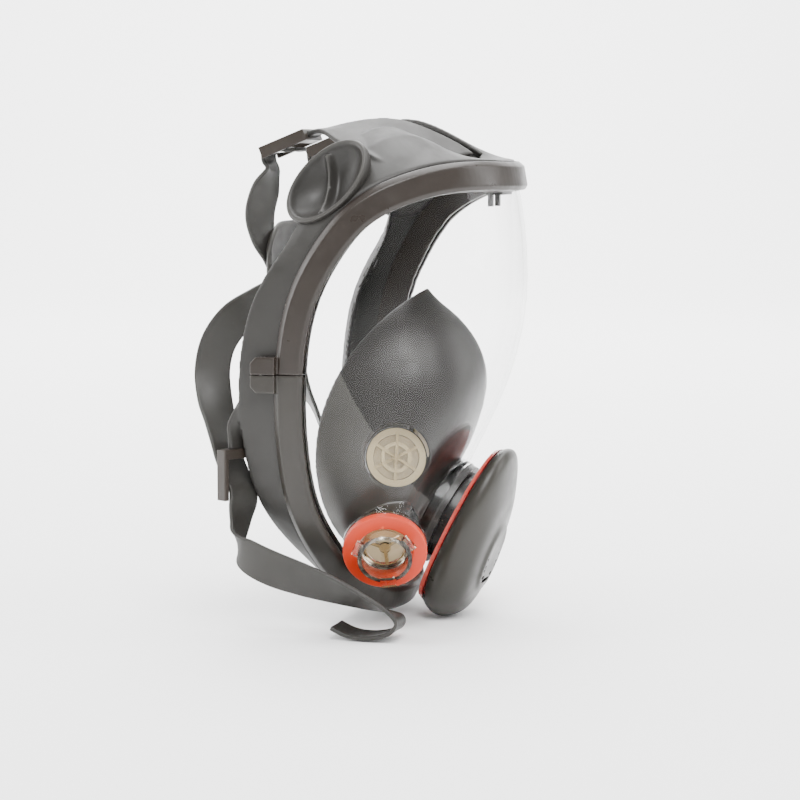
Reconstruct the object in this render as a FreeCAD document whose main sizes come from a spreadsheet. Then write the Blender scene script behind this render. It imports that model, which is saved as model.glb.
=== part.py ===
"""A full face respirator standing on its exhalation cover and its two lower straps.

Row frame: +X is the way the visor faces, +Y is the wearer's left, +Z is up, and the floor that the
respirator stands on is Z = 0. The plane Y = 0 is the mirror plane. Lengths are millimetres.
"""
import FreeCAD
import Part
import Sketcher
import math
import os

from FreeCAD import Placement, Rotation, Vector

doc = FreeCAD.newDocument("respirator")
sheet = doc.addObject("Spreadsheet::Sheet", "dimensions")

DIMENSIONS = {
    # lens and its frame
    "lens_thick": 2.5, "lens_axis_x": -65.0, "lens_gap": 1.5, "slot_play": 0.5,
    "frame_rear": 8.0, "frame_front": 7.0, "frame_proud": 4.6, "frame_inside": 5.4,
    "split_height": 135.0, "split_gap": 0.3,
    "lug_reach": 11.0, "lug_long": 9.0, "lug_thick": 6.8, "screw_rad": 1.5, "screw_head_rad": 2.5,
    "screw_head_high": 2.2, "nut_across": 4.4, "nut_high": 2.4,
    # face seal
    "seal_thick": 2.6, "lip_thick": 1.8,
    # filter ports
    "port_rad": 21.5, "boss_rad": 18.5, "boss_long": 24.0, "hub_rad": 14.0, "hub_bore_rad": 11.8,
    "hub_back": 6.0, "hub_out": 10.5, "hub_fit": 0.05, "gasket_thick": 4.0, "flange_rad": 21.9,
    "flange_thick": 1.8, "lug_high": 2.4, "lug_rad": 16.8, "lug_wide": 8.0, "spoke_wide": 1.8,
    "web_thick": 1.4, "stem_rad": 1.6, "flap_rad": 10.8, "flap_thick": 0.7, "flap_lift": 1.6,
    # nose cup
    "cup_thick": 2.0, "cup_boss_rad": 16.0, "cup_boss_long": 7.0, "cup_valve_rad": 13.8,
    "cup_valve_thick": 2.4, "cup_ring_in": 6.0, "cup_ring_wide": 2.0, "cup_spoke_wide": 1.6,
    "cup_flap_rad": 11.8, "cup_lip_rad": 15.2,
    # centre port, measured along its axis from the front of the red ring
    "adapter_rad": 25.0, "adapter_bore": 20.0, "adapter_tail": 24.0, "collar_rad": 29.0,
    "collar_back": 16.0, "collar_front": 11.0, "seat_rad": 28.4, "seat_thick": 2.6,
    "washer_thick": 1.0, "grid_thick": 1.6, "grid_ring": 9.0, "grid_bar": 1.8,
    "exhale_rad": 19.0, "exhale_thick": 1.0, "exhale_lift": 2.5,
    "trim_thick": 2.2, "trim_lip": 2.5, "trim_play": 0.05, "cover_wall": 2.0, "cover_travel": 32.0,
    # harness and its buckles
    "strap_wide": 19.0, "strap_thick": 2.2, "pad_thick": 3.0, "buckle_rear": 12.0, "buckle_front": 7.0,
    "buckle_half": 10.3, "buckle_rail": 2.9, "buckle_low": 2.5, "buckle_high": 3.5, "buckle_tail": 14.0,
    "bar_rad": 1.3, "bar_half": 12.2, "bar_rest": 9.0, "bar_travel": 2.0, "bar_play": 0.05,
    "tab_half": 8.0, "tab_play": 0.05,
    # spectacle clip
    "clip_half": 11.0, "clip_thick": 2.4, "clip_long": 8.0, "post_wide": 3.8, "post_thick": 2.2,
    "post_long": 6.0, "post_half": 7.5,
}
for row, (alias, value) in enumerate(DIMENSIONS.items(), start=1):
    sheet.set(f"A{row}", alias)
    sheet.set(f"B{row}", str(value))
    sheet.setAlias(f"B{row}", alias)
doc.recompute()


def dim(alias):
    """The value of one cell of the sheet."""
    return float(getattr(sheet, alias))


NODES = {}


# ---- curves, stations and skins -------------------------------------------------------------

def smooth(table, at):
    """The row of a table at one value of its first column, by cubic interpolation."""
    table = sorted(table)
    last = len(table) - 1
    at = min(max(at, table[0][0]), table[last][0])
    i = max(k for k in range(last) if table[k][0] <= at)
    before, start, end, after = (table[j] for j in (max(i - 1, 0), i, i + 1, min(i + 2, last)))
    width = end[0] - start[0]
    share = (at - start[0]) / width
    row = []
    for c in range(1, len(start)):
        slope_in = (end[c] - before[c]) / (end[0] - before[0]) * width
        slope_out = (after[c] - start[c]) / (after[0] - start[0]) * width
        row.append(start[c] * (1 + 2 * share) * (1 - share) ** 2 + slope_in * share * (1 - share) ** 2
                   + end[c] * share ** 2 * (3 - 2 * share) + slope_out * share ** 2 * (share - 1))
    return row


def curve_through(points, closed=False, parameters=None):
    """The spline through the points."""
    curve = Part.BSplineCurve()
    if parameters:
        curve.interpolate(Points=points, PeriodicFlag=closed, Parameters=parameters)
    else:
        curve.interpolate(Points=points, PeriodicFlag=closed)
    return curve


def spline(points, closed=False):
    """An edge through the points."""
    return curve_through(points, closed).toShape()


def ruled(first, second):
    """The ruled face between two splines that share their knots."""
    surface = Part.BSplineSurface()
    surface.buildFromPolesMultsKnots([first.getPoles(), second.getPoles()], [2, 2], first.getMultiplicities(),
                                     [0.0, 1.0], first.getKnots(), False, first.isPeriodic(), 1, first.Degree)
    return surface.toShape()


def solid_of(faces):
    """The closed solid whose skin is these faces."""
    shell = Part.Shell(faces)
    shell.sewShape()
    solid = Part.Solid(shell)
    if solid.Volume < 0:
        solid.reverse()
    return solid


def band(stations, section, closed=False):
    """A solid swept through stations (point, across, out), whose section is (across, out) corners.

    section(share) gives the corners at that share of the way along. Each side is a ruled skin.
    """
    count = len(stations)
    rows = []
    for i, (point, across, out) in enumerate(stations):
        corners = section(i / (count - 1 if not closed else count))
        rows.append([point + across * a + out * o for a, o in corners])
    travel = [0.0]
    for i in range(1, count):
        travel.append(travel[-1] + (stations[i][0] - stations[i - 1][0]).Length)
    if closed:
        travel.append(travel[-1] + (stations[0][0] - stations[-1][0]).Length)
    rails = [curve_through([row[k] for row in rows], closed, travel) for k in range(len(rows[0]))]
    faces = [ruled(rails[k], rails[(k + 1) % len(rails)]) for k in range(len(rails))]
    if not closed:
        for row in (rows[0], rows[-1]):
            wire = Part.makePolygon(row + [row[0]])
            faces.append(Part.makeFilledFace(wire.Edges) if not planar(row) else Part.Face(wire))
    return solid_of(faces)


def planar(points):
    """True if the points lie in one plane."""
    normal = Vector()
    for i in range(1, len(points) - 1):
        turn = (points[i] - points[0]).cross(points[i + 1] - points[0])
        if turn.Length > normal.Length:
            normal = turn
    return all(abs((p - points[0]).dot(normal.normalize())) < 1e-4 for p in points)


def slab(outer, inner):
    """A closed sheet between two grids of points of the same size."""
    skins = []
    for grid in (outer, inner):
        surface = Part.BSplineSurface()
        surface.interpolate(grid)
        skins.append(surface)
    faces = [skin.toShape() for skin in skins]
    for side in range(4):
        pair = []
        for skin in skins:
            low_u, high_u, low_v, high_v = skin.bounds()
            if side < 2:
                pair.append(skin.uIso(high_u if side else low_u).toShape())
            else:
                pair.append(skin.vIso(high_v if side == 3 else low_v).toShape())
        faces.append(Part.makeRuledSurface(*pair))
    return solid_of(faces)


# ---- the lens surface -----------------------------------------------------------------------

# height: front of the lens, half its width, and how square its level section is
LENS_SHAPE = [
    (-10, -38, 34, 2.4), (12, -28, 45, 2.4), (40, -15, 63, 2.4), (65, -4, 74, 2.3), (97, 13, 81, 2.15),
    (130, 28, 84.5, 2.0), (165, 36, 85.5, 2.0), (200, 36, 85, 2.0), (233, 31, 83, 2.0), (252, 27, 81, 2.0),
]
# the frame's centre line seen from the side: forward and up, from the brow to the chin
FRAME_LINE = [
    (31, 233), (11, 232.5), (-10, 226), (-28, 215), (-42, 198), (-55, 173), (-61, 147), (-63, 120),
    (-62.5, 91), (-59, 65), (-50, 40), (-40, 22), (-28, 12),
]


def lens_radius(height, turn):
    """The distance from the lens axis to the lens surface, at an angle from straight ahead."""
    front, half, square = smooth(LENS_SHAPE, height)
    deep = front - dim("lens_axis_x")
    return (abs(math.cos(turn) / deep) ** square + abs(math.sin(turn) / half) ** square) ** (-1 / square)


def lens_point(height, turn):
    """A point of the lens surface. Past a quarter turn the sides run straight back."""
    quarter = math.pi / 2
    if abs(turn) <= quarter:
        radius = lens_radius(height, turn)
        return Vector(dim("lens_axis_x") + radius * math.cos(turn), radius * math.sin(turn), height)
    half = lens_radius(height, quarter)
    back = (abs(turn) - quarter) * half
    return Vector(dim("lens_axis_x") - back, math.copysign(half, turn), height)


def lens_normal(height, turn):
    """The outward normal of the lens surface."""
    step = 0.01
    round_it = lens_point(height, turn + step) - lens_point(height, turn - step)
    up_it = lens_point(height + 0.5, turn) - lens_point(height - 0.5, turn)
    return round_it.cross(up_it).normalize()


def lens_grid(offset, heights, turns):
    """Points of the surface that lies offset outside the lens surface."""
    return [[lens_point(h, t) + lens_normal(h, t) * offset for t in turns] for h in heights]


def frame_stations(count):
    """Stations (point, towards the lens's middle, outward) on the frame's centre line.

    They run from the middle of the brow down the wearer's right side to the middle of the chin.
    """
    line = Part.BSplineCurve()
    line.interpolate([Vector(x, 0, z) for x, z in FRAME_LINE])
    axis = dim("lens_axis_x")

    def place(share):
        flat = line.value(line.FirstParameter + (line.LastParameter - line.FirstParameter) * share)
        front, half, square = smooth(LENS_SHAPE, flat.z)
        ahead = min((flat.x - axis) / (front - axis), 1.0)
        side = half * (1 - ahead ** square) ** (1 / square) if ahead > 0 else half
        return Vector(flat.x, -side, flat.z)

    fine = [place(i / 2000) for i in range(2001)]
    fine[0].y = fine[-1].y = 0.0
    travel = [0.0]
    for i in range(1, len(fine)):
        travel.append(travel[-1] + (fine[i] - fine[i - 1]).Length)
    stations = []
    j = 0
    for i in range(count):
        want = travel[-1] * i / (count - 1)
        while j < len(travel) - 2 and travel[j + 1] < want:
            j += 1
        share = (want - travel[j]) / (travel[j + 1] - travel[j])
        point = fine[j] + (fine[j + 1] - fine[j]) * share
        turn = math.atan2(point.y, point.x - axis)
        out = lens_normal(point.z, turn)
        if i in (0, count - 1):
            ahead_point = Vector(0, -1 if i == 0 else 1, 0)
        else:
            ahead_point = (fine[min(j + 8, 2000)] - fine[max(j - 8, 0)]).normalize()
        across = out.cross(ahead_point).normalize()
        stations.append((point, across, out))
    return stations


def mirrored(vector):
    return Vector(vector.x, -vector.y, vector.z)


def loop_of(half):
    """The whole closed run of stations, from a half that starts and ends on the mirror plane."""
    far = [tuple(mirrored(v) for v in station) for station in half[1:-1]]
    return half + far[::-1]


def add_shape(label, shape, placement=None):
    """A sub-part whose shape is set here."""
    item = doc.addObject("Part::Feature", label)
    item.Label = label
    item.Shape = shape
    if placement:
        item.Placement = placement
    NODES[label] = item
    return item


def flipped(shape):
    """The mirror image of a shape in the plane Y = 0."""
    return shape.mirror(Vector(0, 0, 0), Vector(0, 1, 0))


def side_view_prism(line, reach=140.0):
    """The solid in front of a line seen from the side, as wide as the respirator."""
    top, bottom = line[0], line[-1]
    far = 130.0
    curve = spline([Vector(p.x, -reach, p.z) for p in line])
    corners = [Vector(bottom.x, -reach, bottom.z), Vector(bottom.x + 20, -reach, bottom.z - 45),
               Vector(far, -reach, bottom.z - 45), Vector(far, -reach, top.z + 2), Vector(top.x, -reach, top.z)]
    edges = [curve] + [Part.LineSegment(a, b).toShape() for a, b in zip(corners, corners[1:])]
    return Part.Face(Part.Wire(edges)).extrude(Vector(0, 2 * reach, 0))


# ---- places ---------------------------------------------------------------------------------

PORT_AXIS = Vector(0.267, -0.874, -0.407).normalize()
PORT_SEAT = Vector(-19.7, -62.5, 45.3)
CENTRE_AXIS = Vector(0.895, 0.0, -0.446).normalize()
CENTRE_SEAT = Vector(5.0, 0.0, 51.0)


def facing(point, axis, level=(0, 1, 0)):
    """The placement that stands a part's Z along an axis, with its Y kept near level."""
    y = Vector(*level)
    y = (y - axis * y.dot(axis)).normalize()
    x = y.cross(axis)
    matrix = FreeCAD.Matrix(x.x, y.x, axis.x, point.x, x.y, y.y, axis.y, point.y,
                            x.z, y.z, axis.z, point.z, 0, 0, 0, 1)
    return Placement(matrix)


RIGHT_PORT = facing(PORT_SEAT, PORT_AXIS, (1, 0, 0))
LEFT_PORT = facing(mirrored(PORT_SEAT), mirrored(PORT_AXIS), (1, 0, 0))
CENTRE_PORT = facing(CENTRE_SEAT, CENTRE_AXIS, (0, -1, 0))


def tube(rad, bore, low, high, placement):
    """A plain tube along its placement's Z."""
    shape = Part.makeCylinder(rad, high - low, Vector(0, 0, low))
    if bore:
        shape = shape.cut(Part.makeCylinder(bore, high - low + 2, Vector(0, 0, low - 1)))
    shape.Placement = placement
    return shape


# ---- visor: lens, frame halves, screws ------------------------------------------------------

HALF = frame_stations(25)
LOOP = loop_of(HALF)


def build_lens():
    heights = [-8 + 256 * i / 12 for i in range(13)]
    turns = [-1.7 + 3.4 * i / 24 for i in range(25)]
    thick, gap = dim("lens_thick"), dim("lens_gap")
    wall = slab(lens_grid(0, heights, turns), lens_grid(-thick, heights, turns))
    inside = slab(lens_grid(-thick, heights, turns), lens_grid(-thick - 20, heights, turns))
    edge = [p + s * gap for p, s, _ in HALF]
    lens = wall.common(side_view_prism(edge))
    back, front = dim("collar_back"), dim("collar_front")
    collar = tube(dim("collar_rad"), 0, -back, -front, CENTRE_PORT)
    lens = lens.cut(tube(dim("collar_rad"), 0, -60, 60, CENTRE_PORT)).fuse(collar)
    lens = lens.cut(tube(dim("adapter_rad") + dim("hub_fit"), 0, -60, 60, CENTRE_PORT))
    hub, flange = dim("hub_rad") + dim("hub_fit"), dim("flange_thick")
    for port in (RIGHT_PORT, LEFT_PORT):
        boss = tube(dim("boss_rad"), 0, -dim("boss_long"), 0, port).cut(inside)
        lip = tube(dim("flange_rad"), 0, -flange, 0, port)
        lens = lens.fuse(boss).fuse(lip).cut(tube(hub, 0, -60, 5, port))
    add_shape("lens", max(lens.Solids, key=lambda part: part.Volume))


def frame_section(slot_high, slot_low):
    """The H section that grips the lens on one side and the seal on the other."""
    rear, front = -dim("frame_rear"), dim("frame_front")
    top, low, web = dim("frame_proud"), -dim("frame_inside"), 0.5
    return [(rear + 1.5, top - 1.2), (rear + 3, top), (front - 2, top), (front, top - 1.6), (front, slot_high),
            (web, slot_high), (web, slot_low), (front, slot_low), (front, low), (rear, low), (rear, slot_low),
            (-web, slot_low), (-web, slot_high), (rear, slot_high), (rear, top - 2.6)]


def build_frame():
    """Two halves of a clamping channel, cut at the temples, with a lug for a screw on each side."""
    play = dim("slot_play")
    section = frame_section(play, -dim("lens_thick") - play)
    split, gap, long = dim("split_height"), dim("split_gap") / 2, dim("lug_long")
    channel = band(LOOP, lambda share: section, closed=True)
    point, across, out = min(HALF, key=lambda s: abs(s[0].z - split))
    corner = point - across * (dim("frame_rear") + dim("lug_reach")) + out * (0.9 + dim("lug_thick"))
    lug = Part.makeBox(dim("lug_reach") + 2, dim("lug_thick"), 2 * long)
    lug = lug.makeChamfer(3.0, [e for e in lug.Edges if e.CenterOfMass.x < 0.1 and abs(e.tangentAt(0).y) > 0.9])
    lug.Placement = Placement(Vector(corner.x, corner.y, split - long), Rotation())
    axis = Vector(corner.x + 5.5, corner.y + dim("lug_thick") / 2, 0)
    bore = Part.makeCylinder(dim("screw_rad"), 60, Vector(axis.x, axis.y, split - 30))
    head = Part.makeCylinder(dim("screw_head_rad") + 0.2, 40, Vector(axis.x, axis.y, split + long - 3.4))
    nut_hole = Part.makeCylinder(dim("screw_head_rad") + 0.2, 40, Vector(axis.x, axis.y, split - long + 3.4 - 40))
    channel = channel.fuse([lug, flipped(lug)])
    for cutter in (bore, head, nut_hole):
        channel = channel.cut(cutter).cut(flipped(cutter))
    big = 300.0
    upper = channel.cut(Part.makeBox(big, big, big, Vector(-big / 2, -big / 2, split + gap - big)))
    lower = channel.cut(Part.makeBox(big, big, big, Vector(-big / 2, -big / 2, split - gap)))
    add_shape("upper_frame", upper)
    add_shape("lower_frame", lower)
    shank = Part.makeCylinder(dim("screw_rad") - 0.1, 2 * long - 5, Vector(axis.x, axis.y, split - long + 1.5))
    top = Part.makeCylinder(dim("screw_head_rad"), dim("screw_head_high"), Vector(axis.x, axis.y, split + long - 3.4))
    slot = Part.makeBox(8, 0.9, 1.2, Vector(axis.x - 4, axis.y - 0.45, split + long - 3.4 + dim("screw_head_high") - 0.9))
    screw = shank.fuse(top).cut(slot)
    add_shape("frame_screws", Part.makeCompound([screw, flipped(screw)]))
    corners = [Vector(axis.x + dim("nut_across") / 2 / math.cos(math.pi / 6) * math.cos(math.radians(60 * k)),
                      axis.y + dim("nut_across") / 2 / math.cos(math.pi / 6) * math.sin(math.radians(60 * k)),
                      split - long + 3.4 - dim("nut_high")) for k in range(7)]
    nut = Part.Face(Part.makePolygon(corners)).extrude(Vector(0, 0, dim("nut_high")))
    nut = nut.cut(Part.makeCylinder(dim("screw_rad") - 0.1, 60, Vector(axis.x, axis.y, split - 30)))
    add_shape("frame_nuts", Part.makeCompound([nut, flipped(nut)]))


# ---- face seal ------------------------------------------------------------------------------

# share of the way from brow to chin: rear reach, rear depth, lip reach, lip depth
SEAL_SHAPE = [
    (0.0, 15, -38, 6, -48), (0.07, 17, -37, 7, -48), (0.13, 27, -37, 15, -50), (0.19, 35, -36, 22, -50),
    (0.25, 32, -27, 19, -42), (0.31, 24, -12, 11, -32), (0.38, 21, -4, 7, -27),
    (0.45, 26, -1, 12, -25), (0.56, 28, 0, 14, -25), (0.68, 25, -2, 10, -26), (0.80, 17, -10, 4, -26),
    (0.90, 14, -18, 2, -27), (1.0, 12.8, -24, 0, -30),
]


def seal_section(share):
    """Gripped edge, skirt, turned rear edge and the inner lip, as one bent strip."""
    half = 2 * share if share <= 0.5 else 2 - 2 * share
    reach, deep, lip_reach, lip_deep = smooth(SEAL_SHAPE, half)
    skin_out, wall, lip = -0.2, dim("seal_thick"), dim("lip_thick")
    rear = -dim("frame_rear") - 1.3
    bend = min(deep, -3.0)
    return [(-0.8, -0.1), (rear, -0.1), (-reach * 0.8, deep * 0.55), (-reach, deep),
            (-reach + 0.6, deep - 4.0), (-lip_reach - 7, (deep + lip_deep) / 2 - 3), (-lip_reach, lip_deep),
            (-lip_reach - lip, lip_deep + 1.6), (-lip_reach - 7.5, (deep + lip_deep) / 2 - 1),
            (-reach + 2.6, deep - 2.4), (-reach * 0.8 + 2.2, deep * 0.55 - wall + 0.4),
            (rear + 0.8, -wall), (-0.8, -wall + 0.1)]


UPPER_TAB = [  # outer edge, inner edge, from the brow back to the buckle
    ((-17, -64, 237.5), (12, -9, 245)), ((-22, -64, 241), (4, -9, 250)), ((-30, -62, 245), (-10, -12, 257)),
    ((-40, -57, 249), (-29, -17, 263)), ((-50, -50, 251.5), (-46, -24, 262)),
]
LOWER_TAB = [
    ((-88, -81.5, 128), (-75, -81, 125)), ((-93, -82, 118), (-80, -80.5, 115)), ((-97, -84, 108), (-87, -74, 108)),
]
# buckles: a local X runs from the tab towards the free end, and Z is the face the strap crosses
RIGHT_UPPER = facing(Vector(-78, -36, 250.5), Vector(-0.37, 0, 0.93).normalize(), (0, -1, 0))
LEFT_UPPER = facing(Vector(-78, 36, 250.5), Vector(-0.37, 0, 0.93).normalize(), (0, -1, 0))
RIGHT_LOWER = facing(Vector(-93, -77, 84), Vector(0.89, -0.45, 0).normalize(), (0.45, 0.89, 0))
LEFT_LOWER = facing(Vector(-93, 77, 84), Vector(0.89, 0.45, 0).normalize(), (-0.45, 0.89, 0))


def strip(edges, thick, inset=0.0):
    """A flat strap between two edges given as pairs of points, thick on the side away from +X x edge."""
    stations = []
    centres = [(Vector(*a) + Vector(*b)) * 0.5 for a, b in edges]
    for i, (a, b) in enumerate(edges):
        ahead = centres[min(i + 1, len(edges) - 1)] - centres[max(i - 1, 0)]
        wide = Vector(*b) - Vector(*a)
        out = wide.cross(ahead).normalize()
        stations.append((centres[i], wide.normalize(), out))
    widths = [(Vector(*b) - Vector(*a)).Length / 2 for a, b in edges]

    def section(share):
        half = widths[round(share * (len(edges) - 1))] - inset
        edge = thick * 0.3
        return [(-half, -thick / 2 + edge), (-half, thick / 2 - edge), (-half + edge, thick / 2),
                (half - edge, thick / 2), (half, thick / 2 - edge), (half, -thick / 2 + edge),
                (half - edge, -thick / 2), (-half + edge, -thick / 2)]
    return band(stations, section)


def build_seal():
    skirt = band(LOOP, seal_section, closed=True)
    tabs = []
    half, level = dim("tab_half"), 0.5
    for edges, buckle in ((UPPER_TAB, RIGHT_UPPER), (LOWER_TAB, RIGHT_LOWER)):
        run = list(edges)
        for along in (-16.0, -12.0, -dim("buckle_front") - 0.5):
            pair = [buckle.multVec(Vector(along, side * half, level)) for side in (-1, 1)]
            first = Vector(*edges[-1][0])
            pair.sort(key=lambda corner: (corner - first).Length)
            run.append((tuple(pair[0]), tuple(pair[1])))
        tab = strip(run, dim("seal_thick"))
        tabs += [tab, flipped(tab)]
    right = skirt.fuse(tabs).common(Part.makeBox(400, 200, 400, Vector(-200, -200, -50)))
    add_shape("face_seal", Part.makeCompound([right.Solids[0], flipped(right.Solids[0])]))


# ---- bodies made of sketches on their own base plane ------------------------------------------

D = "dimensions."


def new_body(label, placement):
    body = doc.addObject("PartDesign::Body", label)
    body.Label = label
    body.Placement = placement
    NODES[label] = body
    return body


def new_sketch(body, name, level):
    """A sketch on the body's XY plane, raised to a level given as an expression."""
    plane = [f for f in body.Origin.OriginFeatures if f.Role == "XY_Plane"][0]
    sketch = body.newObject("Sketcher::SketchObject", name)
    sketch.AttachmentSupport = [(plane, "")]
    sketch.MapMode = "FlatFace"
    sketch.setExpression(".AttachmentOffset.Base.z", level)
    return sketch


def circles(body, name, radii, level):
    """A sketch of circles about the axis, each radius an expression on the sheet."""
    sketch = new_sketch(body, name, level)
    for i, radius in enumerate(radii):
        circle = sketch.addGeometry(Part.Circle(Vector(), Vector(0, 0, 1), 20 - 4 * i))
        sketch.addConstraint(Sketcher.Constraint("Coincident", circle, 3, -1, 1))
        held = sketch.addConstraint(Sketcher.Constraint("Radius", circle, 20 - 4 * i))
        sketch.setExpression(f"Constraints[{held}]", radius)
    return sketch


def bar(body, name, near, far, wide, level):
    """A sketch of a rectangle that lies along X from near to far and is centred on it."""
    sketch = new_sketch(body, name, level)
    corners = [Vector(5, -1, 0), Vector(9, -1, 0), Vector(9, 1, 0), Vector(5, 1, 0)]
    for i in range(4):
        sketch.addGeometry(Part.LineSegment(corners[i], corners[(i + 1) % 4]))
    for i in range(4):
        sketch.addConstraint(Sketcher.Constraint("Coincident", i, 2, (i + 1) % 4, 1))
    for i, lie in enumerate(("Horizontal", "Vertical", "Horizontal")):
        sketch.addConstraint(Sketcher.Constraint(lie, i))
    sketch.addConstraint(Sketcher.Constraint("Symmetric", 0, 1, 2, 2, -1))
    for (line, end), size in (((0, 1), near), ((0, 2), far)):
        held = sketch.addConstraint(Sketcher.Constraint("DistanceX", -1, 1, line, end, 5.0 + 4.0 * (end - 1)))
        sketch.setExpression(f"Constraints[{held}]", size)
    held = sketch.addConstraint(Sketcher.Constraint("DistanceY", 1, 1, 1, 2, 2.0))
    sketch.setExpression(f"Constraints[{held}]", wide)
    return sketch


def pad(body, sketch, long):
    feature = body.newObject("PartDesign::Pad", sketch.Name + "_pad")
    feature.Profile = sketch
    feature.setExpression("Length", long)
    body.Tip = feature
    return feature


def round_pattern(body, feature, count):
    """Repeats a feature about the body's Z axis."""
    axis = [f for f in body.Origin.OriginFeatures if f.Role == "Z_Axis"][0]
    pattern = body.newObject("PartDesign::PolarPattern", feature.Name + "_round")
    pattern.Originals = [feature]
    pattern.Axis = (axis, [""])
    pattern.Angle = 360
    pattern.Occurrences = count
    body.Tip = pattern
    doc.recompute()
    return pattern


def ring(label, placement, outer, inner, level, thick):
    """A plain ring or disc: outer and inner radius, level of its base and thickness."""
    body = new_body(label, placement)
    radii = [outer, inner] if inner else [outer]
    pad(body, circles(body, label + "_outline", radii, level), thick)
    return body


# ---- filter ports ---------------------------------------------------------------------------

def build_port(side, port):
    """Bayonet hub with its valve seat, red gasket, and the inhalation flap behind the seat."""
    hub = new_body(f"{side}_bayonet_hub", port)
    pad(hub, circles(hub, side + "_hub_tube", [D + "hub_rad", D + "hub_bore_rad"], f"-{D}hub_back"),
        f"{D}hub_back + {D}hub_out")
    seat = f"-{D}web_thick"
    pad(hub, circles(hub, side + "_hub_seat", [D + "hub_bore_rad + 0.5", D + "flap_rad - 1.2"], seat),
        D + "web_thick")
    pad(hub, circles(hub, side + "_hub_stem", [D + "stem_rad + 1.4"], seat), D + "web_thick")
    spoke = pad(hub, bar(hub, side + "_hub_spoke", D + "stem_rad", D + "flap_rad", D + "spoke_wide", seat),
                D + "web_thick")
    round_pattern(hub, spoke, 3)
    lug = pad(hub, bar(hub, side + "_hub_lug", D + "hub_bore_rad + 0.6", D + "lug_rad", D + "lug_wide",
                       f"{D}hub_out - {D}lug_high"), D + "lug_high")
    round_pattern(hub, lug, 3)
    ring(f"{side}_port_gasket", port, D + "port_rad", D + "hub_rad + 0.1", "0", D + "gasket_thick")
    flap = new_body(f"{side}_inhalation_flap", port)
    low = f"-{D}web_thick - {D}flap_thick - 0.1"
    pad(flap, circles(flap, side + "_flap_disc", [D + "flap_rad"], low), D + "flap_thick")


# ---- nose cup -------------------------------------------------------------------------------

# from the rim that meets the face to the centre port, at eighths of a turn from the brow side
NOSE_CUP = [
    [(-17, 0, 174), (0, 0, 158), (13.5, 0, 134), (9.5, 0, 104), (-1.2, 0, 83.4)],
    [(-40, -31, 150), (-17, -33, 139), (0, -32, 118), (0, -27, 98), (-4.6, -18.6, 76.5)],
    [(-61, -44, 104), (-42, -46, 97), (-24, -42, 86), (-16, -34, 72), (-12.9, -26.3, 59.9)],
    [(-61, -33, 60), (-50, -36, 56), (-39, -35, 52), (-29, -27, 47), (-21.2, -18.6, 43.3)],
    [(-50, 0, 32), (-46, 0, 30), (-40, 0, 29), (-33, 0, 31), (-24.6, 0, 36.4)],
]
CUP_VALVE_SEAT = Vector(-21.5, -37.5, 89.0)
CUP_VALVE_AXIS = Vector(0.34, -0.92, 0.18).normalize()
RIGHT_CUP_VALVE = facing(CUP_VALVE_SEAT, CUP_VALVE_AXIS, (1, 0, 0))
LEFT_CUP_VALVE = facing(mirrored(CUP_VALVE_SEAT), mirrored(CUP_VALVE_AXIS), (1, 0, 0))


def half_skin(rows, thick, count=(13, 25)):
    """A sheet of even thickness whose first and last columns lie in the mirror plane."""
    surface = Part.BSplineSurface()
    surface.interpolate(rows)
    low_u, high_u, low_v, high_v = surface.bounds()
    outer, inner = [], []
    for i in range(count[0]):
        u = low_u + (high_u - low_u) * i / (count[0] - 1)
        outer.append([])
        inner.append([])
        for j in range(count[1]):
            v = low_v + (high_v - low_v) * j / (count[1] - 1)
            point = surface.value(u, v)
            normal = surface.normal(u, v)
            if j in (0, count[1] - 1):
                normal.y = point.y = 0.0
                normal.normalize()
            outer[-1].append(point)
            inner[-1].append(point - normal * thick)
    return slab(outer, inner)


def build_nose_cup():
    rows = [[Vector(*column[k]) for column in NOSE_CUP] for k in range(len(NOSE_CUP[0]))]
    cup = half_skin(rows, dim("cup_thick"))
    boss, valve, long = dim("cup_boss_rad"), dim("cup_valve_rad"), dim("cup_boss_long")
    cup = cup.fuse(tube(boss, 0, -long, 0, RIGHT_CUP_VALVE)).cut(tube(valve + 0.05, 0, -60, 30, RIGHT_CUP_VALVE))
    cup = cup.cut(tube(boss + 0.8, 0, -0.05, 30, RIGHT_CUP_VALVE))
    cup = cup.fuse(flipped(cup))
    back, tail = dim("collar_back"), dim("adapter_tail")
    cup = cup.fuse(tube(dim("collar_rad") - 1.5, 0, -tail, -back - 0.2, CENTRE_PORT))
    cup = cup.cut(tube(dim("adapter_rad") + dim("hub_fit"), 0, -60, 60, CENTRE_PORT))
    add_shape("nose_cup", max(cup.Solids, key=lambda part: part.Volume))


def build_cup_valve(side, place):
    """Cream check valve: an outer ring, an inner ring and six spokes, with its flap behind."""
    grid = new_body(f"{side}_cup_valve", place)
    low = f"-{D}cup_valve_thick"
    pad(grid, circles(grid, side + "_cup_rim", [D + "cup_valve_rad", D + "cup_flap_rad"], low), D + "cup_valve_thick")
    pad(grid, circles(grid, side + "_cup_lip", [D + "cup_lip_rad", D + "cup_flap_rad"], "0"), "1.2")
    pad(grid, circles(grid, side + "_cup_ring", [D + "cup_ring_in + " + D + "cup_ring_wide", D + "cup_ring_in"],
                      "-0.4"), "1.6")
    pad(grid, circles(grid, side + "_cup_hub", [D + "stem_rad"], "-0.4"), "1.6")
    spoke = pad(grid, bar(grid, side + "_cup_spoke", "0.5", D + "cup_flap_rad + 0.6", D + "cup_spoke_wide",
                          "-0.4"), "1.6")
    round_pattern(grid, spoke, 6)
    flap = new_body(f"{side}_cup_flap", place)
    pad(flap, circles(flap, side + "_cup_flap_disc", [D + "cup_flap_rad - 0.3"], "-1.4"), D + "flap_thick")


# ---- centre port, its valve and its cover ---------------------------------------------------

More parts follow.
